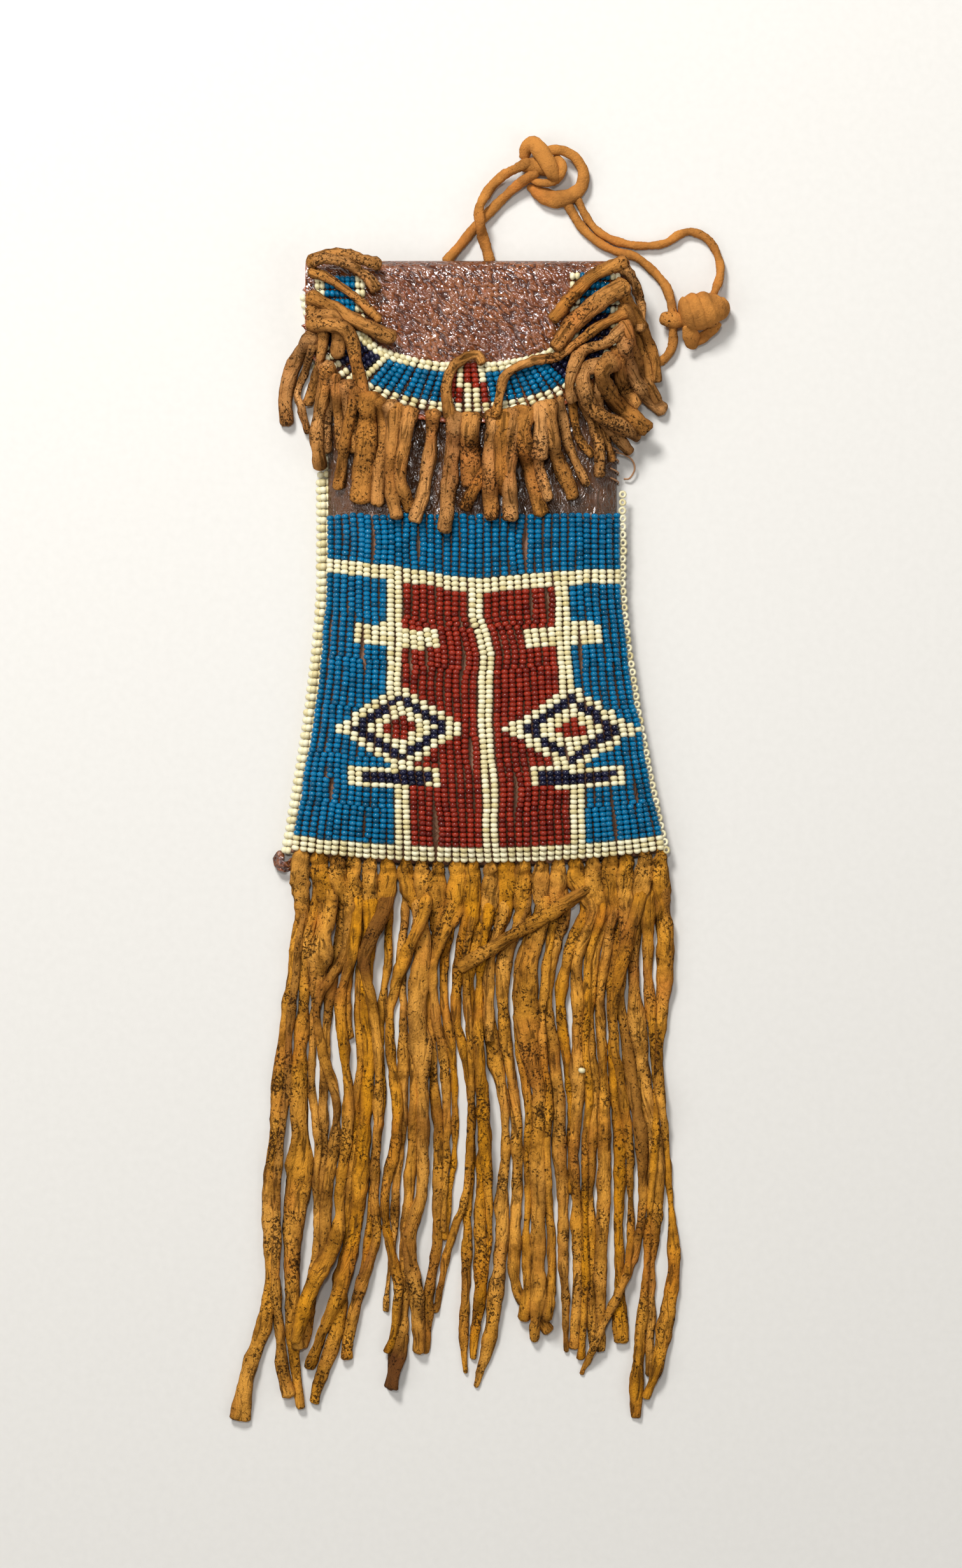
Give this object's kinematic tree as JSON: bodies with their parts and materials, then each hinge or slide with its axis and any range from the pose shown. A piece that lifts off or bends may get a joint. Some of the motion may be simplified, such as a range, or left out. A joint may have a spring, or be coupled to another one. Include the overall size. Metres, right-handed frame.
{
  "type": "strike-a-light pouch",
  "caption": "Flat beaded leather strike-a-light pouch with a fringed fold-over flap, a lane-stitched front, a long looped buckskin hem fringe and a knotted hanging thong with a toggle.",
  "frame": {"origin": "centre of the back panel's underside, on the surface the pouch lies on", "axes": "+X to the wearer's left as seen in the picture's right, +Y from the hem to the fold, +Z out of the beaded front"},
  "size_m": [0.126, 0.324, 0.0157],
  "materials": {
    "body_leather": "worn, half gloss",
    "flap_leather": "glossy, crackled",
    "buckskin": "soft matt suede",
    "thong": "matt",
    "white_glass": "opaque glossy",
    "blue_glass": "glossy",
    "red_glass": "dark, glossy",
    "navy_glass": "dark, glossy"
  },
  "bodies": {
    "pouch": {"back_panel": "body_leather", "front_panel": "body_leather", "white_lattice": "white_glass", "blue_band": "blue_glass", "blue_field_left": "blue_glass", "red_field_left": "red_glass", "red_field_right": "red_glass", "blue_field_right": "blue_glass", "navy_ring_left": "navy_glass", "white_heart_left": "white_glass", "red_core_left": "red_glass", "navy_bar_left": "navy_glass", "navy_ring_right": "navy_glass", "white_heart_right": "white_glass", "red_core_right": "red_glass", "navy_bar_right": "navy_glass", "left_edge_beads": "white_glass", "right_edge_beads": "white_glass", "fringe_thong_01": "buckskin", "fringe_thong_02": "buckskin", "fringe_thong_03": "buckskin", "fringe_thong_04": "buckskin", "fringe_thong_05": "buckskin", "fringe_thong_06": "buckskin", "fringe_thong_07": "buckskin", "fringe_thong_08": "buckskin", "fringe_thong_09": "buckskin", "fringe_thong_10": "buckskin", "fringe_thong_11": "buckskin", "fringe_thong_12": "buckskin", "fringe_thong_13": "buckskin", "fringe_thong_14": "buckskin", "fringe_thong_15": "buckskin", "fringe_thong_16": "buckskin", "fringe_thong_17": "buckskin", "fringe_thong_18": "buckskin", "fringe_thong_19": "buckskin", "fringe_thong_20": "buckskin", "fringe_thong_21": "buckskin", "fringe_thong_22": "buckskin", "hanger_left": "thong", "hanger_right": "thong", "hanger_knot": "thong", "toggle_cord_long": "thong", "toggle_cord_short": "thong", "toggle_wrap": "thong", "toggle": "thong", "toggle_tail": "thong"},
    "flap": {"flap_leather": "flap_leather", "flap_blue_corner_left": "blue_glass", "flap_navy_left": "navy_glass", "flap_blue_left": "blue_glass", "flap_red_centre": "red_glass", "flap_blue_right": "blue_glass", "flap_navy_right": "navy_glass", "flap_blue_corner_right": "blue_glass", "flap_white_lines": "white_glass", "flap_fringe": "buckskin"}
  },
  "joints": [
    {"name": "flap_hinge", "type": "hinge", "parent": "pouch", "child": "flap", "pos_m": [0, 0.0766, 0.0053], "axis": [-1, 0, 0], "range_deg": [0, 100]}
  ]
}
